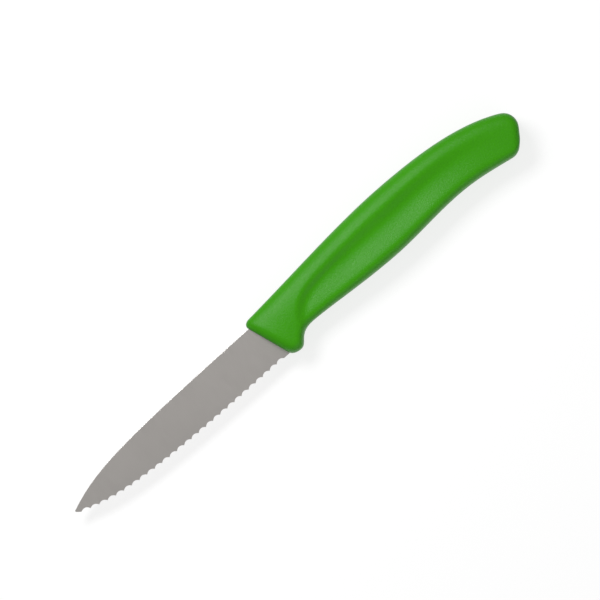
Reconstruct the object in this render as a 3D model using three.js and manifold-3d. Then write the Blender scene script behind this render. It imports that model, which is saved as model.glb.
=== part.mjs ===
// A paring knife: a wavy-edged stamped blade, and a one-piece plastic handle moulded round its tang.
// Millimetres. +X runs from the tip to the butt, +Y from the cutting edge to the spine, and +Z out of
// the left side of the blade. The knife lies flat on its right side, on Z = 0.
import * as THREE from "three";
import { mergeVertices } from "three/addons/utils/BufferGeometryUtils.js";
import Module from "manifold-3d";

const wasm = await Module();
wasm.setup();

// Places are drawn from the corner where the spine meets the handle (X = 0), and from a level line
// through the tip's rounding (Y = 0).
// A reach is how far a line keeps its heading, before and after a point.

// Blade
const BLADE_LENGTH = 80; // tip to handle, along the spine
const SPINE_RISE = 7.94; // spine above the level line, at the handle
const EDGE_DROP = 6.46; // tooth points below it, at the handle
const SPINE_THICKNESS = 1.3;
const EDGE_THICKNESS = 0.3;
const TIP_RADIUS = 0.35;
const TIP_RISE = 0.22; // centre of that rounding
const TIP_SPINE_ANGLE = 22.5; // how steeply the spine leaves the tip, degrees
const TIP_SPINE_REACH = 14.95;
const HEEL_SPINE_ANGLE = 0.88;
const HEEL_SPINE_REACH = 54;
const TIP_EDGE_ANGLE = -44; // how steeply the edge leaves the tip, degrees
const TIP_EDGE_REACH = 0.5;
const FIRST_TOOTH_BACK = 1.5; // first tooth point behind the tip
const FIRST_TOOTH_DROP = 1.1;
const FIRST_TOOTH_SLOPE = -23;
const FIRST_TOOTH_REACH = [0.35, 11.3];
const HEEL_EDGE_ANGLE = 1.33;
const HEEL_EDGE_REACH = 59.5;

// Scallops of the edge, ground from the right side
const TOOTH_PITCH = 3.02;
const TOOTH_DEPTH = 0.8;
const GRIND_ANGLE = 20; // between the grinding stroke and the blade, degrees
const WHEEL_WIDTH = 20; // longer than the stroke through the blade
const HEEL_PLAIN = 1.8; // least straight edge after the last tooth point, up to the handle

// Tang, with the heel of the blade seated in the handle's front
const HEEL_SEAT = 1.3; // how far the full blade runs into the handle
const TANG_SEAT = 0.6; // where the tang's full thickness begins, behind the handle's front
const TANG_LENGTH = 62;
const TANG_HEIGHT = 7.9;
const TANG_CORNER = 2;
const TANG_HOLE = 4.4; // diameter of the holes that the plastic runs through
const TANG_HOLE_FRONT = 20; // first hole behind the handle's front
const TANG_HOLE_SPACING = 26;
const MOULD_CLEARANCE = 0.3; // between the steel and the plastic round it

// Handle outline: the upper line, from the spine over the back to the butt
const HANDLE_LENGTH = 108.3;
const FRONT_LEAN = 19; // front face from upright, degrees
const SPINE_STEP = 0.4; // straight front above the spine
const SPINE_STEP_LEAN = 6.3; // the front from upright at the end of that step, degrees
const FRONT_TOP = 10.3; // upper line just behind the front
const FRONT_TOP_BACK = 1.9;
const FRONT_TOP_SLOPE = 4.4;
const FRONT_TOP_REACH = [1.1, 19.8];
const FRONT_TOP_ROUND = 1.15; // reach of the front face into the corner above it
const CROWN_RISE = 14.76; // highest point of the back
const CROWN_BACK = 60.5;
const CROWN_REACH = [17.9, 15.9];
const BACK_CORNER_RISE = 7.35; // where the back turns down into the butt
const BACK_CORNER_FROM_BUTT = 2.7;
const BACK_CORNER_SLOPE = -27;
const BACK_CORNER_REACH = [14, 1.5];
const BUTT_RISE = 3; // rearmost point of the butt
const BUTT_REACH = [2.2, 1.4];

// Handle outline: the lower line, from the edge round the guard to the butt
const EDGE_STEP = 0.36; // the front's straight stops short of the tooth points by this
const GUARD_DROP = 8; // lowest point of the guard lobe
const GUARD_BACK = 8.5;
const GUARD_REACH = [2.3, 3];
const GUARD_ROUND = 0.9; // reach of the front face into the lobe
const NOTCH_DROP = 3.62; // finger notch behind the guard
const NOTCH_BACK = 17.2;
const NOTCH_REACH = [6.4, 7.7];
const BELLY_DROP = 5.2;
const BELLY_BACK = 51;
const BELLY_REACH = [13.9, 9.3];
const WAIST_DROP = 3.72;
const WAIST_FROM_BUTT = 29.7;
const WAIST_REACH = [9.2, 8.1];
const TOE_DROP = 6.22; // lower corner of the butt
const TOE_FROM_BUTT = 8.6;
const TOE_SLOPE = -10;
const TOE_REACH = [8.1, 1];
const HEEL_DROP = 5; // where that corner meets the butt face
const HEEL_FROM_BUTT = 5;
const HEEL_TURN = 8; // left to turn into the butt face there, degrees
const HEEL_REACH = [1.25, 0.8];
const BUTT_LEAN = 35; // butt face from upright, degrees
const BUTT_FLAT = 3.6; // length of the flat in the middle of the butt face
const BUTT_FLAT_SETBACK = 1.05; // its upper end, in front of the rearmost point
const BUTT_FLAT_ROUND = [1.1, 0.9]; // its reach into the curves above and below it

// Handle sections, before the hollows
const FRONT_THICKNESS = 10.6;
const SWELL_THICKNESS = 13;
const SWELL_BACK = 58;
const BUTT_THICKNESS = 12;
const FRONT_ROUND = 3.4; // rounding of the sides into the front face
const BUTT_ROUND = 2.6; // rounding of the sides into the butt face
const CREST_SHARE = 0.78; // thickest line of a section, from its top to its bottom
const FRONT_FULLNESS = 1.6; // fullness of a section above that line, at the front
const SWELL_FULLNESS = 3.4; // at the swell
const BUTT_FULLNESS = 6; // and at the butt
const TOP_SQUARENESS = 3.2; // bluntness of its top
const BELLY_FULLNESS = 3; // fullness below that line
const BELLY_SQUARENESS = 2.4; // bluntness of its bottom

// Thumb scoop, a shallow hollow in each side
const SCOOP_DEPTH = 1.8;
const SCOOP_TOP = 0.23; // shares of a section's height where the hollow starts,
const SCOOP_FLOOR = 0.48; // is deepest,
const SCOOP_BOTTOM = 0.94; // and has run out
const SCOOP_OPEN = 0.5; // share of its depth that runs out at the finger notch
const SCOOP_OPEN_START = 12; // and that is gone between these distances behind the front
const SCOOP_OPEN_END = 50;
const SCOOP_FRONT = 9; // the front end is a hyperbola between this line
const SCOOP_RIDGE = 0.16; // and this share of the height
const SCOOP_SWEEP = 3.7;
const SCOOP_STEP = 1.8; // half width of the step down into the hollow
const SCOOP_FADE_START = 50; // the hollow dies out from this distance to the butt

// Fineness of the curved faces
const RIBS = 58;
const RIB_CROWDING = 0.75; // how far the ribs crowd towards the two ends, from 0 to 1
const RING_POINTS = 44;
const OUTLINE_STEPS = 48;
const NOSE_STEPS = 6;
const ROUND_STEPS = 72;
const WELD = 1e-4; // points closer than this are one point

const { clamp, degToRad, lerp, smoothstep } = THREE.MathUtils;

// Curves through named points

// A point of a line, with the line's heading there and how far the heading carries on either side.
function knot(x, y, heading, [before, after]) {
  const along = new THREE.Vector2(Math.cos(degToRad(heading)), Math.sin(degToRad(heading)));
  const at = new THREE.Vector2(x, y);
  return {
    at,
    before: at.clone().addScaledVector(along, -before),
    after: at.clone().addScaledVector(along, after),
  };
}

function lineThrough(knots) {
  const line = new THREE.CurvePath();
  for (let i = 1; i < knots.length; i++) {
    const from = knots[i - 1];
    const to = knots[i];
    line.add(new THREE.CubicBezierCurve(from.at, from.after, to.before, to.at));
  }
  return line;
}

// Solids

function solidOf(geometry) {
  const bare = geometry.clone();
  bare.deleteAttribute("normal");
  bare.deleteAttribute("uv");
  const merged = mergeVertices(bare, WELD);
  return new wasm.Manifold(
    new wasm.Mesh({
      numProp: 3,
      vertProperties: new Float32Array(merged.attributes.position.array),
      triVerts: new Uint32Array(merged.index.array),
    }),
  );
}

function meshOf(solid, name, material) {
  const made = solid.getMesh();
  const geometry = new THREE.BufferGeometry();
  geometry.setAttribute("position", new THREE.BufferAttribute(made.vertProperties, 3));
  geometry.setIndex(new THREE.BufferAttribute(made.triVerts, 1));
  geometry.computeVertexNormals();
  const mesh = new THREE.Mesh(geometry, material);
  mesh.name = name;
  return mesh;
}

// A plate of even thickness, centred on the blade's middle plane.
function plate(shape, thickness) {
  const geometry = new THREE.ExtrudeGeometry(shape, {
    depth: thickness,
    bevelEnabled: false,
    curveSegments: OUTLINE_STEPS,
  });
  return geometry.translate(0, 0, -thickness / 2);
}

// The handle's front face, and a point at a given height on a line a given distance behind it
const frontLean = Math.tan(degToRad(FRONT_LEAN));

function behindFront(distance, y) {
  return new THREE.Vector2(distance + (SPINE_RISE - y) * frontLean, y);
}

// Blade

const tipCentre = TIP_RADIUS - BLADE_LENGTH;
const spineStart = degToRad(90 + TIP_SPINE_ANGLE);
const edgeStart = degToRad(270 + TIP_EDGE_ANGLE);

const spine = lineThrough([
  knot(
    tipCentre + TIP_RADIUS * Math.cos(spineStart),
    TIP_RISE + TIP_RADIUS * Math.sin(spineStart),
    TIP_SPINE_ANGLE,
    [0, TIP_SPINE_REACH],
  ),
  knot(0, SPINE_RISE, HEEL_SPINE_ANGLE, [HEEL_SPINE_REACH, 0]),
]);

const edge = lineThrough([
  knot(
    tipCentre + TIP_RADIUS * Math.cos(edgeStart),
    TIP_RISE + TIP_RADIUS * Math.sin(edgeStart),
    TIP_EDGE_ANGLE,
    [0, TIP_EDGE_REACH],
  ),
  knot(
    FIRST_TOOTH_BACK - BLADE_LENGTH,
    -FIRST_TOOTH_DROP,
    FIRST_TOOTH_SLOPE,
    FIRST_TOOTH_REACH,
  ),
  knot(...behindFront(0, -EDGE_DROP), HEEL_EDGE_ANGLE, [HEEL_EDGE_REACH, 0]),
]);

// Half the blade's thickness at a height: both sides are flat, from the spine to the edge.
function bladeHalf(y) {
  return lerp(EDGE_THICKNESS, SPINE_THICKNESS, (y + EDGE_DROP) / (SPINE_RISE + EDGE_DROP)) / 2;
}

function bladeBlank() {
  const nose = new THREE.Path().absarc(tipCentre, TIP_RISE, TIP_RADIUS, spineStart, edgeStart, false);
  const outline = new THREE.Shape([
    ...nose.getPoints(NOSE_STEPS),
    ...edge.getSpacedPoints(OUTLINE_STEPS).slice(1),
    behindFront(HEEL_SEAT, -EDGE_DROP),
    behindFront(HEEL_SEAT, SPINE_RISE),
    ...spine.getSpacedPoints(OUTLINE_STEPS).slice(1).reverse(),
  ]);
  const geometry = plate(outline, SPINE_THICKNESS);
  const position = geometry.attributes.position;
  for (let i = 0; i < position.count; i++) {
    position.setZ(i, Math.sign(position.getZ(i)) * bladeHalf(position.getY(i)));
  }
  return solidOf(geometry);
}

const tangLow = SPINE_RISE - TANG_HEIGHT;

// The tang's outline behind the given points of its front, grown for the space it takes in the handle.
function tangShape(front, grow) {
  const top = SPINE_RISE + grow;
  const low = tangLow - grow;
  const end = TANG_LENGTH + grow;
  const corner = TANG_CORNER + grow;
  const shape = new THREE.Shape(front);
  shape.lineTo(end - corner, low);
  shape.absarc(end - corner, low + corner, corner, -Math.PI / 2, 0, false);
  shape.absarc(end - corner, top - corner, corner, 0, Math.PI / 2, false);
  shape.closePath();
  for (const back of [TANG_HOLE_FRONT, TANG_HOLE_FRONT + TANG_HOLE_SPACING]) {
    const hole = new THREE.Path();
    hole.absarc(back, SPINE_RISE - TANG_HEIGHT / 2, TANG_HOLE / 2 - grow, 0, 2 * Math.PI, true);
    shape.holes.push(hole);
  }
  return shape;
}

// One scallop: a grinding wheel meets the edge between two tooth points, and leaves through the right side.
function grindingCut(from, to) {
  const chord = to.clone().sub(from);
  const inward = new THREE.Vector2(-chord.y, chord.x).normalize();
  const root = from.clone().lerp(to, 0.5).addScaledVector(inward, TOOTH_DEPTH);
  const sine = Math.sin(degToRad(GRIND_ANGLE));
  const cosine = Math.cos(degToRad(GRIND_ANGLE));
  const sag = TOOTH_DEPTH * sine;
  const radius = chord.lengthSq() / (8 * sag) + sag / 2;
  const stroke = new THREE.Vector3(inward.x * cosine, inward.y * cosine, -sine);
  const lift = new THREE.Vector3(inward.x * sine, inward.y * sine, cosine);
  const centre = new THREE.Vector3(root.x, root.y, bladeHalf(root.y)).addScaledVector(lift, -radius);
  const wheel = new THREE.CylinderGeometry(radius, radius, WHEEL_WIDTH, ROUND_STEPS);
  wheel.applyQuaternion(new THREE.Quaternion().setFromUnitVectors(new THREE.Vector3(0, 1, 0), stroke));
  return solidOf(wheel.translate(...centre));
}

function bladeSolid() {
  let solid = bladeBlank();
  const length = edge.getLength();
  const firstTooth = edge.getCurveLengths()[0];
  const count = Math.floor((length - firstTooth - HEEL_PLAIN) / TOOTH_PITCH);
  const toothPoint = (i) => edge.getPointAt((firstTooth + i * TOOTH_PITCH) / length);
  for (let i = 0; i < count; i++) {
    solid = solid.subtract(grindingCut(toothPoint(i), toothPoint(i + 1)));
  }
  const tangFront = [behindFront(TANG_SEAT, SPINE_RISE), behindFront(TANG_SEAT, tangLow)];
  return solid.add(solidOf(plate(tangShape(tangFront, 0), SPINE_THICKNESS)));
}

// Handle

const buttAlong = new THREE.Vector2(
  -Math.sin(degToRad(BUTT_LEAN)),
  -Math.cos(degToRad(BUTT_LEAN)),
);
const buttTop = new THREE.Vector2(HANDLE_LENGTH - BUTT_FLAT_SETBACK, 0);
const buttLow = buttTop.clone().addScaledVector(buttAlong, BUTT_FLAT);

const upper = lineThrough([
  knot(...behindFront(0, SPINE_RISE + SPINE_STEP), 90 + SPINE_STEP_LEAN, [0, FRONT_TOP_ROUND]),
  knot(FRONT_TOP_BACK, FRONT_TOP, FRONT_TOP_SLOPE, FRONT_TOP_REACH),
  knot(CROWN_BACK, CROWN_RISE, 0, CROWN_REACH),
  knot(HANDLE_LENGTH - BACK_CORNER_FROM_BUTT, BACK_CORNER_RISE, BACK_CORNER_SLOPE, BACK_CORNER_REACH),
  knot(HANDLE_LENGTH, BUTT_RISE, -90, BUTT_REACH),
  knot(...buttTop, -90 - BUTT_LEAN, [BUTT_FLAT_ROUND[0], 0]),
]);

const lower = lineThrough([
  knot(...behindFront(0, EDGE_STEP - EDGE_DROP), FRONT_LEAN - 90, [0, GUARD_ROUND]),
  knot(GUARD_BACK, -GUARD_DROP, 0, GUARD_REACH),
  knot(NOTCH_BACK, -NOTCH_DROP, 0, NOTCH_REACH),
  knot(BELLY_BACK, -BELLY_DROP, 0, BELLY_REACH),
  knot(HANDLE_LENGTH - WAIST_FROM_BUTT, -WAIST_DROP, 0, WAIST_REACH),
  knot(HANDLE_LENGTH - TOE_FROM_BUTT, -TOE_DROP, TOE_SLOPE, TOE_REACH),
  knot(HANDLE_LENGTH - HEEL_FROM_BUTT, -HEEL_DROP, 90 - BUTT_LEAN - HEEL_TURN, HEEL_REACH),
  knot(...buttLow, 90 - BUTT_LEAN, [BUTT_FLAT_ROUND[1], 0]),
]);

// How deep the rounded rim of an end face cuts into the sides, at a distance from that face.
function rimCut(distance, radius) {
  const inside = radius - clamp(distance, 0, radius);
  return radius - Math.sqrt(radius * radius - inside * inside);
}

function scoopDepth(x, share) {
  const across = share - SCOOP_RIDGE;
  const along = x - SCOOP_FRONT;
  if (across <= 0 || along <= 0) {
    return 0;
  }
  const height = SPINE_RISE + EDGE_DROP;
  const past = (along * across - SCOOP_SWEEP) / Math.hypot(across, along / height);
  const front = smoothstep(past, -SCOOP_STEP, SCOOP_STEP);
  const back = smoothstep(HANDLE_LENGTH - x, 0, SCOOP_FADE_START);
  const closed = lerp(1 - SCOOP_OPEN, 1, smoothstep(x, SCOOP_OPEN_START, SCOOP_OPEN_END));
  const fall = smoothstep(share, SCOOP_TOP, SCOOP_FLOOR);
  const rise = closed * smoothstep(share, SCOOP_FLOOR, SCOOP_BOTTOM);
  return SCOOP_DEPTH * front * back * (fall - rise);
}

// Half the handle's thickness at a point of its side, a given share of the way from its top to its bottom.
function handleHalf(point, share) {
  const swell = smoothstep(point.x, 0, SWELL_BACK);
  const taper = smoothstep(point.x, SWELL_BACK, HANDLE_LENGTH);
  const full =
    (lerp(FRONT_THICKNESS, SWELL_THICKNESS, swell) - (SWELL_THICKNESS - BUTT_THICKNESS) * taper) / 2;
  const above = share < CREST_SHARE;
  const away = above ? 1 - share / CREST_SHARE : (share - CREST_SHARE) / (1 - CREST_SHARE);
  const fullnessAbove = lerp(lerp(FRONT_FULLNESS, SWELL_FULLNESS, swell), BUTT_FULLNESS, taper);
  const fullness = above ? fullnessAbove : BELLY_FULLNESS;
  const squareness = above ? TOP_SQUARENESS : BELLY_SQUARENESS;
  const roundness = Math.pow(1 - Math.pow(away, fullness), 1 / squareness);
  const fromFront = (point.x - behindFront(0, point.y).x) * Math.cos(degToRad(FRONT_LEAN));
  const fromButt = Math.abs(buttAlong.cross(point.clone().sub(buttTop)));
  const rim = rimCut(fromFront, FRONT_ROUND) + rimCut(fromButt, BUTT_ROUND);
  return (full - scoopDepth(point.x, share)) * roundness * (1 - rim / full);
}

// The handle's skin: rings from the upper line round to the lower one, closed at the front and the butt.
function handleSkin() {
  const points = [];
  for (let i = 0; i <= RIBS; i++) {
    const even = i / RIBS;
    const t = lerp(even, (1 - Math.cos(Math.PI * even)) / 2, RIB_CROWDING);
    const top = upper.getPoint(t);
    const low = lower.getPoint(t);
    for (let j = 0; j < RING_POINTS; j++) {
      const turn = (2 * Math.PI * j) / RING_POINTS;
      const share = (1 - Math.cos(turn)) / 2;
      const at = top.clone().lerp(low, share);
      const half = j % (RING_POINTS / 2) === 0 ? 0 : handleHalf(at, share);
      points.push(at.x, at.y, j < RING_POINTS / 2 ? half : -half);
    }
  }
  const faces = [];
  for (let i = 0; i < RIBS; i++) {
    for (let j = 0; j < RING_POINTS; j++) {
      const a = i * RING_POINTS + j;
      const b = i * RING_POINTS + ((j + 1) % RING_POINTS);
      faces.push(a, b, b + RING_POINTS, a, b + RING_POINTS, a + RING_POINTS);
    }
  }
  const butt = RIBS * RING_POINTS;
  for (let j = 0; j < RING_POINTS / 2; j++) {
    const left = [j, j + 1];
    const right = [(RING_POINTS - j) % RING_POINTS, RING_POINTS - j - 1];
    for (const [a, b, c] of [
      [left[0], right[1], left[1]],
      [left[0], right[0], right[1]],
    ]) {
      if (a !== b && b !== c && c !== a) {
        faces.push(a, b, c, butt + a, butt + c, butt + b);
      }
    }
  }
  const geometry = new THREE.BufferGeometry();
  geometry.setAttribute("position", new THREE.Float32BufferAttribute(points, 3));
  geometry.setIndex(faces);
  return solidOf(geometry);
}

// The handle's skin, less the space for the heel and the tang, which is open towards the blade.
function handleSolid() {
  const seat = HEEL_SEAT + MOULD_CLEARANCE;
  const heelLow = -EDGE_DROP - MOULD_CLEARANCE;
  const heelFront = [
    behindFront(-seat, SPINE_RISE + MOULD_CLEARANCE),
    behindFront(-seat, heelLow),
    behindFront(seat, heelLow),
    behindFront(seat, tangLow - MOULD_CLEARANCE),
  ];
  const space = plate(tangShape(heelFront, MOULD_CLEARANCE), SPINE_THICKNESS + 2 * MOULD_CLEARANCE);
  return handleSkin().subtract(solidOf(space));
}

const steel = new THREE.MeshStandardMaterial({ color: 0xb4b1ad, roughness: 0.35, metalness: 1 });
const plastic = new THREE.MeshStandardMaterial({ color: 0x40931e, roughness: 0.5, metalness: 0 });

const knife = new THREE.Group();
knife.name = "paring_knife";
knife.add(meshOf(bladeSolid(), "blade", steel));
knife.add(meshOf(handleSolid(), "handle", plastic));

const box = new THREE.Box3().setFromObject(knife);
const middle = box.getCenter(new THREE.Vector3());
knife.position.set(-middle.x, -middle.y, -box.min.z);

export default knife;
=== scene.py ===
"""A paring knife with a wavy edge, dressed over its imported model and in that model's frame.

The knife is modelled in millimetres and then brought to metres. The view, the floor and the lamps are
in metres from the start.
"""
import math

import bmesh
import bpy
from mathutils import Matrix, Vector
from mathutils.geometry import interpolate_bezier


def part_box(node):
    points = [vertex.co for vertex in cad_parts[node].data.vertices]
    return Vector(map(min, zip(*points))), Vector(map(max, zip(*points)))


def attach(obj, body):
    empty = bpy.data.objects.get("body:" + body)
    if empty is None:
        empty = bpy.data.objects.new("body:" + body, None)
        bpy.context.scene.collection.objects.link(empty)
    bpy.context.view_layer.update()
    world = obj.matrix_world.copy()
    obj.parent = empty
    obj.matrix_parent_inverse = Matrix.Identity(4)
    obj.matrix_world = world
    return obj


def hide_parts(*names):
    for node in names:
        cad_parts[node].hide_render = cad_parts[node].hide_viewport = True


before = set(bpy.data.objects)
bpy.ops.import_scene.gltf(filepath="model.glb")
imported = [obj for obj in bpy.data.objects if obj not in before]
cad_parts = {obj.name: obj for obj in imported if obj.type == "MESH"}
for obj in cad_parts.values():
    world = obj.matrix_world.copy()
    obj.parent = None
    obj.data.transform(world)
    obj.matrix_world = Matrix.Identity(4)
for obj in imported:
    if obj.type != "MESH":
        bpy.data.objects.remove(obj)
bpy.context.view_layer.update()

scene = bpy.context.scene

# The view: a camera straight above the knife's left side, turned so that the tip points down to the
# left. The long lens keeps the outline free of perspective, as in a catalogue picture.
MM = 0.001
VIEW_WIDTH = 191.7 * MM  # what the picture takes in, at the level of the blade
VIEW_CENTRE = (4.33 * MM, 0.775 * MM)
VIEW_LEVEL = 6.3 * MM
VIEW_TURN = math.radians(-41)
LENS = 225
SENSOR = 36

bpy.ops.object.camera_add(
    location=(*VIEW_CENTRE, VIEW_LEVEL + VIEW_WIDTH * LENS / SENSOR),
    rotation=(0, 0, VIEW_TURN),
)
scene.camera = bpy.context.object
scene.camera.data.lens = LENS
scene.camera.data.sensor_width = SENSOR

# The blade: one stamping of stainless steel, ground flat from a thick spine to a thin edge and
# finished with a fine satin grain. The scallops are ground in from the right side, and the plain tang
# behind them has two holes, through which the plastic of the handle runs.
BLADE_LENGTH = 80  # tip to handle, along the spine
SPINE_RISE = 7.94  # spine above the drawing's level line, at the handle
EDGE_DROP = 6.46  # tooth points below that line, at the handle
SPINE_THICKNESS = 1.3
EDGE_THICKNESS = 0.3
SPINE_EASE = 0.05  # rounding of the two long corners of the spine
SPINE_EASE_STEPS = 6
TIP_RADIUS = 0.35
TIP_RISE = 0.22  # centre of that rounding
NOSE_STEPS = 10
OUTLINE_STEPS = 120
FRONT_LEAN = 19  # of the handle's front, from upright, degrees
HEEL_SEAT = 1.3  # how far the full blade runs into the handle

blade_low, blade_high = (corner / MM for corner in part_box("blade"))
ORIGIN = Vector(  # below the meeting of spine and handle, on the level line and the middle plane
    (
        blade_low.x + BLADE_LENGTH,
        blade_high.y - SPINE_RISE,
        (blade_low.z + blade_high.z) / 2,
    )
)


def at(x, y):
    """A point of the middle plane, given from the drawing's origin."""
    return ORIGIN + Vector((x, y, 0))


def behind_front(distance, y):
    """A point at a height, a distance behind the slanting front of the handle."""
    return at(distance + (SPINE_RISE - y) * math.tan(math.radians(FRONT_LEAN)), y)


def knot(point, heading, before, after):
    """A point of a line, with the handles that carry its heading to either side, as in a pen tool."""
    turn = math.radians(heading)
    along = Vector((math.cos(turn), math.sin(turn), 0))
    return point - before * along, point, point + after * along


def line_through(knots, shares):
    """Points of the smooth line through some knots, each at a share of the line's length."""
    fine = []
    for start, end in zip(knots, knots[1:]):
        fine += interpolate_bezier(start[1], start[2], end[0], end[1], OUTLINE_STEPS)
    reach = [0]
    for a, b in zip(fine, fine[1:]):
        reach.append(reach[-1] + (b - a).length)
    points = []
    i = 0
    for share in shares:
        goal = share * reach[-1]
        while i < len(fine) - 2 and reach[i + 1] < goal:
            i += 1
        span = reach[i + 1] - reach[i]
        points.append(fine[i].lerp(fine[i + 1], (goal - reach[i]) / span if span else 0))
    return points


def even(count):
    """Shares from 0 to 1 in a number of equal steps."""
    return [i / count for i in range(count + 1)]


TIP_SPINE_ANGLE = 22.5  # how steeply the spine and the edge leave the tip, degrees
TIP_EDGE_ANGLE = -44
FIRST_TOOTH_BACK = 1.5  # first tooth point behind the tip
FIRST_TOOTH_DROP = 1.1
tip_centre = at(TIP_RADIUS - BLADE_LENGTH, TIP_RISE)


def nose_point(degrees):
    """A point of the tip's rounding."""
    turn = math.radians(degrees)
    return tip_centre + TIP_RADIUS * Vector((math.cos(turn), math.sin(turn), 0))


spine_start = 90 + TIP_SPINE_ANGLE
edge_start = 270 + TIP_EDGE_ANGLE
spine_knots = [
    knot(nose_point(spine_start), TIP_SPINE_ANGLE, before=0, after=14.95),
    knot(at(0, SPINE_RISE), 0.88, before=54, after=0),
]
edge_knots = [
    knot(at(FIRST_TOOTH_BACK - BLADE_LENGTH, -FIRST_TOOTH_DROP), -23, before=0.35, after=11.3),
    knot(behind_front(0, -EDGE_DROP), 1.33, before=59.5, after=0),
]
tip_edge_knots = [
    knot(nose_point(edge_start), TIP_EDGE_ANGLE, before=0, after=0.5),
    edge_knots[0],
]
spine = line_through(spine_knots, even(OUTLINE_STEPS))
edge = line_through(edge_knots, even(OUTLINE_STEPS))
tip_edge = line_through(tip_edge_knots, even(NOSE_STEPS))
nose = [nose_point(spine_start + (edge_start - spine_start) * t) for t in even(NOSE_STEPS)]
outline = (
    nose
    + tip_edge[1:]
    + edge[1:]
    + [behind_front(HEEL_SEAT, -EDGE_DROP), behind_front(HEEL_SEAT, SPINE_RISE)]
    + spine[:0:-1]
)


def blade_half(y):
    """Half the blade's thickness at a height: both sides are flat, from the spine to the edge."""
    share = (y - ORIGIN.y + EDGE_DROP) / (SPINE_RISE + EDGE_DROP)
    return (EDGE_THICKNESS + (SPINE_THICKNESS - EDGE_THICKNESS) * share) / 2


def finish_with(piece, kind, **settings):
    """Adds a modifier to a piece and applies it."""
    bpy.ops.object.select_all(action="DESELECT")
    piece.select_set(True)
    bpy.context.view_layer.objects.active = piece
    bpy.ops.object.modifier_add(type=kind)
    modifier = piece.modifiers[-1]
    for name, value in settings.items():
        setattr(modifier, name, value)
    bpy.ops.object.modifier_apply(modifier=modifier.name)


def cut_or_join(piece, tool, operation, keep_tool=False):
    """Cuts a piece with another one, or joins the two."""
    finish_with(piece, "BOOLEAN", object=tool, operation=operation, solver="EXACT")
    if not keep_tool:
        bpy.data.objects.remove(tool)


bpy.ops.object.select_all(action="DESELECT")
bpy.ops.mesh.primitive_circle_add(vertices=len(outline), fill_type="NGON")
blade = bpy.context.object
blade.name = "blade_ground"
for vertex, point in zip(blade.data.vertices, outline):
    vertex.co = point
bpy.ops.object.mode_set(mode="EDIT")
bpy.ops.mesh.extrude_region_move(TRANSFORM_OT_translate={"value": (0, 0, SPINE_THICKNESS)})
bpy.ops.object.mode_set(mode="OBJECT")
for vertex in blade.data.vertices:
    side = 1 if vertex.co.z > ORIGIN.z else -1
    vertex.co.z = ORIGIN.z + side * blade_half(vertex.co.y)

bpy.ops.object.mode_set(mode="EDIT")
bpy.ops.mesh.select_all(action="SELECT")
bpy.ops.mesh.normals_make_consistent(inside=False)
bpy.ops.mesh.select_all(action="DESELECT")
bpy.ops.mesh.select_mode(type="EDGE")
form = bmesh.from_edit_mesh(blade.data)
for e in form.edges:
    on_spine = [any((v.co.xy - p.xy).length < SPINE_EASE for p in spine) for v in e.verts]
    same_side = abs(e.verts[0].co.z - e.verts[1].co.z) < SPINE_THICKNESS / 4
    e.select_set(all(on_spine) and same_side)
form.select_flush_mode()
bmesh.update_edit_mesh(blade.data)
bpy.ops.mesh.bevel(offset=SPINE_EASE, segments=SPINE_EASE_STEPS, affect="EDGES")
bpy.ops.object.mode_set(mode="OBJECT")

TOOTH_PITCH = 3.02
TOOTH_DEPTH = 0.8
GRIND_ANGLE = math.radians(20)  # between the grinding stroke and the blade
WHEEL_WIDTH = 20  # longer than the stroke through the blade
WHEEL_STEPS = 160
HEEL_PLAIN = 1.8  # least straight edge after the last tooth point

edge_length = sum((b - a).length for a, b in zip(edge, edge[1:]))
scallops = int((edge_length - HEEL_PLAIN) / TOOTH_PITCH)
teeth = line_through(
    edge_knots,
    [i * TOOTH_PITCH / edge_length for i in range(scallops + 1)],
)
sag = TOOTH_DEPTH * math.sin(GRIND_ANGLE)  # depth of a scallop, square to the stroke
out = Vector((0, 0, 1))  # of the left side
for start, end in zip(teeth, teeth[1:]):
    chord = end - start
    inward = Vector((-chord.y, chord.x, 0)).normalized()
    root = (start + end) / 2 + TOOTH_DEPTH * inward
    root.z = ORIGIN.z + blade_half(root.y)
    radius = chord.length_squared / (8 * sag) + sag / 2  # of the arc with that chord and that sag
    stroke = math.cos(GRIND_ANGLE) * inward - math.sin(GRIND_ANGLE) * out
    lift = math.sin(GRIND_ANGLE) * inward + math.cos(GRIND_ANGLE) * out
    bpy.ops.mesh.primitive_cylinder_add(
        vertices=WHEEL_STEPS,
        radius=radius,
        depth=WHEEL_WIDTH,
        location=root - radius * lift,
        rotation=stroke.to_track_quat("Z", "Y").to_euler(),
    )
    cut_or_join(blade, bpy.context.object, "DIFFERENCE")

TANG_SEAT = 0.6  # where the tang's full thickness begins, behind the handle's front
TANG_LENGTH = 62
TANG_HEIGHT = 7.9
TANG_CORNER = 2
TANG_CORNER_STEPS = 8
TANG_HOLE = 4.4  # diameter
TANG_HOLES = (20, 46)  # behind the handle's front
TANG_HOLE_STEPS = 64
GROUND_ANGLE = math.radians(18)  # faces that meet at less than this shade as one

tang_middle = SPINE_RISE - TANG_HEIGHT / 2
bpy.ops.object.select_all(action="DESELECT")
bpy.ops.mesh.primitive_cube_add(size=1, location=at(TANG_LENGTH / 2, tang_middle))
tang = bpy.context.object
tang.scale = (TANG_LENGTH, TANG_HEIGHT, SPINE_THICKNESS)
bpy.ops.object.transform_apply(location=True, rotation=False, scale=True)
for vertex in tang.data.vertices:
    if vertex.co.x < at(TANG_LENGTH / 2, 0).x:
        vertex.co.x = behind_front(TANG_SEAT, vertex.co.y - ORIGIN.y).x
bpy.ops.object.mode_set(mode="EDIT")
bpy.ops.mesh.select_all(action="DESELECT")
bpy.ops.mesh.select_mode(type="EDGE")
form = bmesh.from_edit_mesh(tang.data)
for e in form.edges:
    at_end = all(abs(v.co.x - at(TANG_LENGTH, 0).x) < TANG_CORNER for v in e.verts)
    e.select_set(at_end and abs(e.verts[0].co.z - e.verts[1].co.z) > SPINE_THICKNESS / 2)
form.select_flush_mode()
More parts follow.
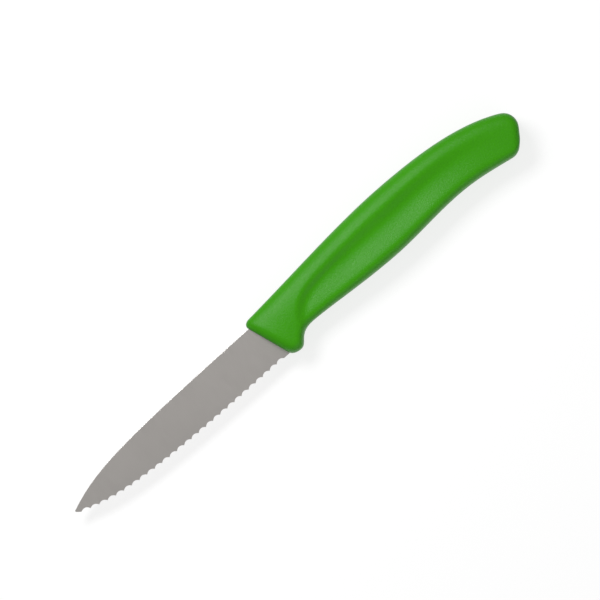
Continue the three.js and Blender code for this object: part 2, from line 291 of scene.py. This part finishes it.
bmesh.update_edit_mesh(tang.data)
bpy.ops.mesh.bevel(offset=TANG_CORNER, segments=TANG_CORNER_STEPS, affect="EDGES")
bpy.ops.object.mode_set(mode="OBJECT")
for back in TANG_HOLES:
    bpy.ops.mesh.primitive_cylinder_add(
        vertices=TANG_HOLE_STEPS,
        radius=TANG_HOLE / 2,
        depth=TANG_HEIGHT,
        location=at(back, tang_middle),
    )
    cut_or_join(tang, bpy.context.object, "DIFFERENCE")
cut_or_join(blade, tang, "UNION")
bpy.ops.object.shade_smooth_by_angle(angle=GROUND_ANGLE)
finish_with(blade, "WEIGHTED_NORMAL", keep_sharp=True)


def new_material(name):
    """A material and its shader."""
    made = bpy.data.materials.new(name)
    made.use_nodes = True
    return made, made.node_tree.nodes["Principled BSDF"]


def new_group(name, inputs, outputs):
    """A shader node group with its sockets, its nodes and its links."""
    group = bpy.data.node_groups.new(name, "ShaderNodeTree")
    for socket, kind in inputs.items():
        group.interface.new_socket(socket, in_out="INPUT", socket_type=kind)
    for socket in outputs:
        group.interface.new_socket(socket, in_out="OUTPUT", socket_type="NodeSocketFloat")
    given = group.nodes.new("NodeGroupInput")
    result = group.nodes.new("NodeGroupOutput")
    return group, group.nodes, group.links, given, result


# Grain: fine marks of the finishing tool, drawn out along the stroke, and slow patches over them.
surface_grain, nodes, links, given, result = new_group(
    "surface_grain",
    inputs={
        "Stretch": "NodeSocketVector",
        "Fineness": "NodeSocketFloat",
        "Patchiness": "NodeSocketFloat",
    },
    outputs=["Grain", "Patches"],
)
place = nodes.new("ShaderNodeTexCoord")
drawn_out = nodes.new("ShaderNodeVectorMath")
drawn_out.operation = "MULTIPLY"
links.new(place.outputs["Object"], drawn_out.inputs[0])
links.new(given.outputs["Stretch"], drawn_out.inputs[1])
fine_marks = nodes.new("ShaderNodeTexNoise")
fine_marks.inputs["Detail"].default_value = 4
fine_marks.inputs["Roughness"].default_value = 0.6
links.new(drawn_out.outputs["Vector"], fine_marks.inputs["Vector"])
links.new(given.outputs["Fineness"], fine_marks.inputs["Scale"])
links.new(fine_marks.outputs["Fac"], result.inputs["Grain"])
slow_patches = nodes.new("ShaderNodeTexNoise")
slow_patches.inputs["Detail"].default_value = 3
links.new(place.outputs["Object"], slow_patches.inputs["Vector"])
links.new(given.outputs["Patchiness"], slow_patches.inputs["Scale"])
links.new(slow_patches.outputs["Fac"], result.inputs["Patches"])

# Corners that cloths and fingers rub, broken up by the grain. On the handle's front rim this same
# mask places painted shade, a darker band where the front turns away from the light.
edge_wear_and_shade, nodes, links, given, result = new_group(
    "edge_wear_and_shade",
    inputs={"Corner": "NodeSocketFloat", "Grain": "NodeSocketFloat"},
    outputs=["Wear"],
)
broken_up = nodes.new("ShaderNodeMapRange")
broken_up.inputs["From Min"].default_value = 0.3
broken_up.inputs["From Max"].default_value = 0.6
links.new(given.outputs["Grain"], broken_up.inputs["Value"])
rubbed_and_shaded = nodes.new("ShaderNodeMath")
rubbed_and_shaded.operation = "MULTIPLY"
links.new(given.outputs["Corner"], rubbed_and_shaded.inputs[0])
links.new(broken_up.outputs["Result"], rubbed_and_shaded.inputs[1])
links.new(rubbed_and_shaded.outputs["Value"], result.inputs["Wear"])

PATCH_SHARE = 0.35  # how much of the patches is added to the grain
LOW_PLACES = 0.45  # what the sum is at the low and the high places of a surface
HIGH_PLACES = 0.9


def add_finish(made, corner, stretch, fineness, patchiness, tones, roughness, depth):
    """Puts grain, patches and worn corners into a material.

    The tones and the roughness are given for the low places, the high places and the polished corners;
    on the handle the third tone is painted shade, darkening the front rim.
    """
    nodes = made.node_tree.nodes
    links = made.node_tree.links
    shader = nodes["Principled BSDF"]
    grain = nodes.new("ShaderNodeGroup")
    grain.node_tree = surface_grain
    grain.inputs["Stretch"].default_value = stretch
    grain.inputs["Fineness"].default_value = fineness
    grain.inputs["Patchiness"].default_value = patchiness
    corners = nodes.new("ShaderNodeAttribute")
    corners.attribute_name = corner
    wear_and_shade = nodes.new("ShaderNodeGroup")
    wear_and_shade.node_tree = edge_wear_and_shade
    links.new(corners.outputs["Fac"], wear_and_shade.inputs["Corner"])
    links.new(grain.outputs["Grain"], wear_and_shade.inputs["Grain"])

    height = nodes.new("ShaderNodeMath")
    height.operation = "MULTIPLY_ADD"
    height.inputs[1].default_value = PATCH_SHARE
    links.new(grain.outputs["Patches"], height.inputs[0])
    links.new(grain.outputs["Grain"], height.inputs[2])
    tone = nodes.new("ShaderNodeMapRange")
    tone.inputs["From Min"].default_value = LOW_PLACES
    tone.inputs["From Max"].default_value = HIGH_PLACES
    links.new(height.outputs["Value"], tone.inputs["Value"])
    body = nodes.new("ShaderNodeMix")
    body.data_type = "RGBA"
    body.inputs["A"].default_value = (*tones[0], 1)
    body.inputs["B"].default_value = (*tones[1], 1)
    links.new(tone.outputs["Result"], body.inputs["Factor"])
    worn_and_shaded = nodes.new("ShaderNodeMix")
    worn_and_shaded.data_type = "RGBA"
    worn_and_shaded.inputs["B"].default_value = (*tones[2], 1)
    links.new(wear_and_shade.outputs["Wear"], worn_and_shaded.inputs["Factor"])
    links.new(body.outputs["Result"], worn_and_shaded.inputs["A"])
    links.new(worn_and_shaded.outputs["Result"], shader.inputs["Base Color"])

    matt = nodes.new("ShaderNodeMapRange")
    matt.inputs["To Min"].default_value = roughness[0]
    matt.inputs["To Max"].default_value = roughness[1]
    links.new(tone.outputs["Result"], matt.inputs["Value"])
    polish = nodes.new("ShaderNodeMath")
    polish.operation = "MULTIPLY_ADD"
    polish.inputs[1].default_value = roughness[2] - roughness[0]
    links.new(wear_and_shade.outputs["Wear"], polish.inputs[0])
    links.new(matt.outputs["Result"], polish.inputs[2])
    links.new(polish.outputs["Value"], shader.inputs["Roughness"])
    relief = nodes.new("ShaderNodeBump")
    relief.inputs["Distance"].default_value = depth
    links.new(grain.outputs["Grain"], relief.inputs["Height"])
    links.new(relief.outputs["Normal"], shader.inputs["Normal"])


satin_steel, steel_shader = new_material("satin_steel")
steel_shader.inputs["Metallic"].default_value = 1
add_finish(
    satin_steel,
    corner="ground_corner",
    stretch=(1, 0.025, 1),
    fineness=4500,
    patchiness=45,
    tones=[(0.662, 0.631, 0.6), (0.7, 0.666, 0.634), (0.78, 0.76, 0.74)],
    roughness=[0.42, 0.34, 0.3],
    depth=0.001 * MM,
)
blade.data.materials.append(satin_steel)
UPRIGHT_FACE = 0.05  # the upward share of a face's normal, on the spine
FLAT_FACE = 0.98  # and on the blade's sides
corner_marks = blade.data.attributes.new("ground_corner", "FLOAT", "FACE")
for face, mark in zip(blade.data.polygons, corner_marks.data):
    mark.value = 1 if UPRIGHT_FACE < abs(face.normal.z) < FLAT_FACE else 0


def to_metres(piece):
    """Brings a piece that was modelled in millimetres to its size."""
    bpy.ops.object.select_all(action="DESELECT")
    piece.select_set(True)
    bpy.context.view_layer.objects.active = piece
    piece.scale = (MM, MM, MM)
    bpy.ops.object.transform_apply(location=False, rotation=False, scale=True)


to_metres(blade)
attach(blade, "root")
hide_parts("blade")

# The handle: one piece of green polypropylene with a fine matt grain, moulded round the tang in one
# shot. The mould opens on the blade's middle plane, so the right half is the left one mirrored.
HANDLE_LENGTH = 108.3
BUTT_LEAN = 35  # of the butt face, from upright, degrees
BUTT_FLAT = 3.6  # length of the flat in the middle of the butt face
BUTT_FLAT_SETBACK = 1.05  # its upper end, in front of the rearmost point
SPINE_STEP = 0.4  # straight front above the spine
SPINE_STEP_LEAN = 6.3  # of the front at the end of that step, degrees
EDGE_STEP = 0.36  # the front's straight stops short of the tooth points by this
HEEL_TURN = 8  # left to turn into the butt face at the corner below it, degrees
RIBS = 110  # sections along the handle
SHARES = 40  # steps down a section


def from_butt(distance, y):
    """A point at a height, a distance in front of the end of the butt."""
    return at(HANDLE_LENGTH - distance, y)


butt_turn = math.radians(BUTT_LEAN)
butt_along = Vector((-math.sin(butt_turn), -math.cos(butt_turn), 0))
butt_top = from_butt(BUTT_FLAT_SETBACK, 0)
butt_low = butt_top + BUTT_FLAT * butt_along
front_top = behind_front(0, SPINE_RISE + SPINE_STEP)
front_low = behind_front(0, EDGE_STEP - EDGE_DROP)
upper_knots = [
    knot(front_top, 90 + SPINE_STEP_LEAN, before=0, after=1.15),
    knot(at(1.9, 10.3), 4.4, before=1.1, after=19.8),  # just behind the front
    knot(at(60.5, 14.76), 0, before=17.9, after=15.9),  # crown of the back
    knot(from_butt(2.7, 7.35), -27, before=14, after=1.5),  # where the back turns down
    knot(from_butt(0, 3), -90, before=2.2, after=1.4),  # rearmost point
    knot(butt_top, -90 - BUTT_LEAN, before=1.1, after=0),
]
lower_knots = [
    knot(front_low, FRONT_LEAN - 90, before=0, after=0.9),
    knot(at(8.5, -7.97), 0, before=2.3, after=3),  # guard
    knot(at(17.2, -3.62), 0, before=6.4, after=7.7),  # finger notch
    knot(at(51, -5.2), 0, before=13.9, after=9.3),  # belly
    knot(from_butt(29.7, -3.72), 0, before=9.2, after=8.1),  # waist
    knot(from_butt(8.6, -6.22), -10, before=8.1, after=1),  # lower corner of the butt
    knot(from_butt(5, -5), 90 - BUTT_LEAN - HEEL_TURN, before=1.25, after=0.8),
    knot(butt_low, 90 - BUTT_LEAN, before=0.9, after=0),
]
RIB_CROWDING = 0.75  # how far the ribs crowd towards the two ends
places = [
    (1 - RIB_CROWDING) * t + RIB_CROWDING * (1 - math.cos(math.pi * t)) / 2 for t in even(RIBS)
]
upper = line_through(upper_knots, places)
lower = line_through(lower_knots, places)

FRONT_THICKNESS = 10.6  # of the sections, before the hollows
SWELL_THICKNESS = 12.96  # a hair thinner than packed, so that the smooth skin stays inside that box
SWELL_BACK = 58
BUTT_THICKNESS = 12
FRONT_ROUND = 3.4  # rounding of the sides into the front face
BUTT_ROUND = 2.6  # and into the butt face
CREST_SHARE = 0.78  # thickest line of a section, from its top to its bottom
FRONT_FULLNESS = 1.6  # fullness of a section above that line, at the front,
SWELL_FULLNESS = 3.4  # at the swell
BUTT_FULLNESS = 6  # and at the butt
TOP_SQUARENESS = 3.2  # bluntness of its top
BELLY_FULLNESS = 3  # fullness below that line
BELLY_SQUARENESS = 2.4  # bluntness of its bottom
SCOOP_DEPTH = 1.8  # the shallow hollow for the thumb, and where in a section it lies
SCOOP_TOP = 0.23
SCOOP_FLOOR = 0.48
SCOOP_BOTTOM = 0.94
SCOOP_OPEN = 0.5  # share of its depth that runs out at the finger notch
SCOOP_OPEN_START = 12  # and that is gone between these distances behind the front
SCOOP_OPEN_END = 50
SCOOP_FRONT = 9  # the front end is a hyperbola between this line
SCOOP_RIDGE = 0.16  # and this share of the height
SCOOP_SWEEP = 3.7  # how far it keeps out of their corner
SCOOP_STEP = 1.8  # half width of the step down into the hollow
SCOOP_FADE_START = 50  # the hollow dies out from this distance to the butt
WELD = 0.001  # points closer than this are one point
MOULDED_ANGLE = math.radians(40)  # faces that meet at less than this shade as one


def ease(value, start, end):
    """A smooth step from 0 at the start to 1 at the end."""
    t = min(max((value - start) / (end - start), 0), 1)
    return t * t * (3 - 2 * t)


def mix(a, b, t):
    """A share of the way from one value to another."""
    return a + (b - a) * t


def rim_cut(distance, radius):
    """How deep the rounded rim of an end face cuts into the sides, at a distance from that face."""
    inside = radius - min(max(distance, 0), radius)
    return radius - math.sqrt(radius * radius - inside * inside)


def past_front(point):
    """How far a point is behind the front face, square to it."""
    return (point.x - behind_front(0, point.y - ORIGIN.y).x) * math.cos(math.radians(FRONT_LEAN))


def to_butt(point):
    """How far a point is from the butt face, square to it."""
    return abs(butt_along.cross(point - butt_top).z)


def scoop_depth(x, share):
    """Depth of the thumb hollow at a distance behind the front and a share of a section's height."""
    across = share - SCOOP_RIDGE
    along = x - SCOOP_FRONT
    if across <= 0 or along <= 0:
        return 0
    past = (along * across - SCOOP_SWEEP) / math.hypot(across, along / (SPINE_RISE + EDGE_DROP))
    front = ease(past, -SCOOP_STEP, SCOOP_STEP)
    back = ease(HANDLE_LENGTH - x, 0, SCOOP_FADE_START)
    closed = mix(1 - SCOOP_OPEN, 1, ease(x, SCOOP_OPEN_START, SCOOP_OPEN_END))
    fall = ease(share, SCOOP_TOP, SCOOP_FLOOR)
    rise = closed * ease(share, SCOOP_FLOOR, SCOOP_BOTTOM)
    return SCOOP_DEPTH * front * back * (fall - rise)


def handle_half(point, share):
    """Half the handle's thickness at a point, a share of the way from its top to its bottom."""
    x = point.x - ORIGIN.x
    swell = ease(x, 0, SWELL_BACK)
    taper = ease(x, SWELL_BACK, HANDLE_LENGTH)
    full = mix(mix(FRONT_THICKNESS, SWELL_THICKNESS, swell), BUTT_THICKNESS, taper) / 2
    if share < CREST_SHARE:
        away = 1 - share / CREST_SHARE
        fullness = mix(mix(FRONT_FULLNESS, SWELL_FULLNESS, swell), BUTT_FULLNESS, taper)
        roundness = max(1 - away**fullness, 0) ** (1 / TOP_SQUARENESS)
    else:
        away = (share - CREST_SHARE) / (1 - CREST_SHARE)
        roundness = max(1 - away**BELLY_FULLNESS, 0) ** (1 / BELLY_SQUARENESS)
    rim = rim_cut(past_front(point), FRONT_ROUND) + rim_cut(to_butt(point), BUTT_ROUND)
    return (full - scoop_depth(x, share)) * roundness * (1 - rim / full)


def front_rim(point):
    """How near a point is to the rim of the front, from 0 to 1; the painted shade along that rim
    follows it.
    """
    return max(1 - past_front(point) / FRONT_ROUND, 0)


# The left half is a grid with a row for each rib. One row more at each end stays on the middle plane,
# which closes the front and the butt.
bpy.ops.object.select_all(action="DESELECT")
bpy.ops.mesh.primitive_grid_add(x_subdivisions=SHARES, y_subdivisions=RIBS + 2)
handle = bpy.context.object
handle.name = "handle_moulded"
# The handle's front rim gets painted shade, a darker band where the front turns away from the light;
# this mask says where.
painted_shade_marks = handle.data.attributes.new("painted_shade_rim", "FLOAT", "POINT")
ring = SHARES + 1
for i, vertex in enumerate(handle.data.vertices):
    rib, j = divmod(i, ring)
    share = (1 - math.cos(math.pi * j / SHARES)) / 2
    inner = min(max(rib - 1, 0), RIBS)
    vertex.co = upper[inner].lerp(lower[inner], share)
    if rib == inner + 1 and 0 < j < SHARES:
        painted_shade_marks.data[i].value = front_rim(vertex.co)
        vertex.co.z += handle_half(vertex.co, share)
bpy.ops.object.mode_set(mode="EDIT")
bpy.ops.mesh.select_all(action="SELECT")
bpy.ops.mesh.remove_doubles(threshold=WELD)
bpy.ops.mesh.normals_make_consistent(inside=False)
bpy.ops.object.mode_set(mode="OBJECT")
bpy.ops.object.empty_add(location=ORIGIN)
middle_plane = bpy.context.object
finish_with(
    handle,
    "MIRROR",
    use_axis=(False, False, True),
    mirror_object=middle_plane,
    merge_threshold=WELD,
)
bpy.data.objects.remove(middle_plane)
finish_with(handle, "SUBSURF", levels=1, render_levels=1)
# The blade is in metres by now, so the handle is shown at that size for the cut.
handle.scale = (MM, MM, MM)
cut_or_join(handle, blade, "DIFFERENCE", keep_tool=True)
to_metres(handle)
bpy.ops.object.shade_smooth_by_angle(angle=MOULDED_ANGLE)

matt_plastic, plastic_shader = new_material("matt_plastic")
plastic_shader.inputs["Specular IOR Level"].default_value = 0.19
add_finish(
    matt_plastic,
    corner="painted_shade_rim",
    stretch=(1, 1, 1),
    fineness=2200,
    patchiness=60,
    # The third tone is painted shade: the front rim, where the handle turns from the light, is drawn
    # darker.
    tones=[(0.043, 0.323, 0.002), (0.052, 0.374, 0.002), (0.036, 0.285, 0.002)],
    roughness=[0.41, 0.33, 0.31],
    depth=0.1 * MM,
)
handle.data.materials.clear()
handle.data.materials.append(matt_plastic)

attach(handle, "root")
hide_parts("handle")

# The floor: a plain pale sheet under the knife. It adds its white only to what is seen, directly or
# in a reflection, so it takes the knife's shadow and throws little light back up.
FLOOR_SIZE = 30
FLOOR_TONE = 0.3
FLOOR_WHITE = 0.77

bpy.ops.object.select_all(action="DESELECT")
bpy.ops.mesh.primitive_plane_add(size=FLOOR_SIZE)
floor = bpy.context.object
floor.name = "floor"
pale_floor, floor_shader = new_material("pale_floor")
floor_shader.inputs["Base Color"].default_value = (FLOOR_TONE, FLOOR_TONE, FLOOR_TONE, 1)
floor_shader.inputs["Roughness"].default_value = 1
floor_shader.inputs["Specular IOR Level"].default_value = 0
floor_shader.inputs["Emission Color"].default_value = (1, 1, 1, 1)
nodes = pale_floor.node_tree.nodes
links = pale_floor.node_tree.links
path = nodes.new("ShaderNodeLightPath")
seen = nodes.new("ShaderNodeMath")
seen.operation = "MAXIMUM"
links.new(path.outputs["Is Camera Ray"], seen.inputs[0])
links.new(path.outputs["Is Glossy Ray"], seen.inputs[1])
seen_through = nodes.new("ShaderNodeMath")
seen_through.operation = "MAXIMUM"
links.new(seen.outputs["Value"], seen_through.inputs[0])
links.new(path.outputs["Is Transmission Ray"], seen_through.inputs[1])
white = nodes.new("ShaderNodeMath")
white.operation = "MULTIPLY"
white.inputs[1].default_value = FLOOR_WHITE
links.new(seen_through.outputs["Value"], white.inputs[0])
links.new(white.outputs["Value"], floor_shader.inputs["Emission Strength"])
floor.data.materials.append(pale_floor)

# The studio light: an even pale room, a long soft box over the spine that draws the highlights on the
# ridge and the crest of the handle, and a wide weak one over the belly.
ROOM_LIGHT = 0.32


def soft_box(name, power, width, height, tilt, heading, distance):
    """A rectangular lamp that leans from overhead towards a heading and faces the knife."""
    lean = math.radians(tilt)
    turn = math.radians(heading)
    out = Vector((math.sin(lean) * math.cos(turn), math.sin(lean) * math.sin(turn), math.cos(lean)))
    bpy.ops.object.light_add(
        type="AREA",
        location=distance * out,
        rotation=out.to_track_quat("Z", "Y").to_euler(),
    )
    lamp = bpy.context.object
    lamp.name = name
    lamp.data.shape = "RECTANGLE"
    lamp.data.size = width
    lamp.data.size_y = height
    lamp.data.energy = power


soft_box("key_box", power=1.63, width=0.26, height=0.15, tilt=37, heading=96, distance=0.5)
soft_box("fill_box", power=1.5, width=0.9, height=0.5, tilt=66, heading=-90, distance=0.9)

room = bpy.data.worlds.new("room")
room.use_nodes = True
walls = room.node_tree.nodes["Background"]
walls.inputs["Color"].default_value = (1, 1, 1, 1)
walls.inputs["Strength"].default_value = ROOM_LIGHT
scene.world = room
scene.view_settings.view_transform = "Standard"
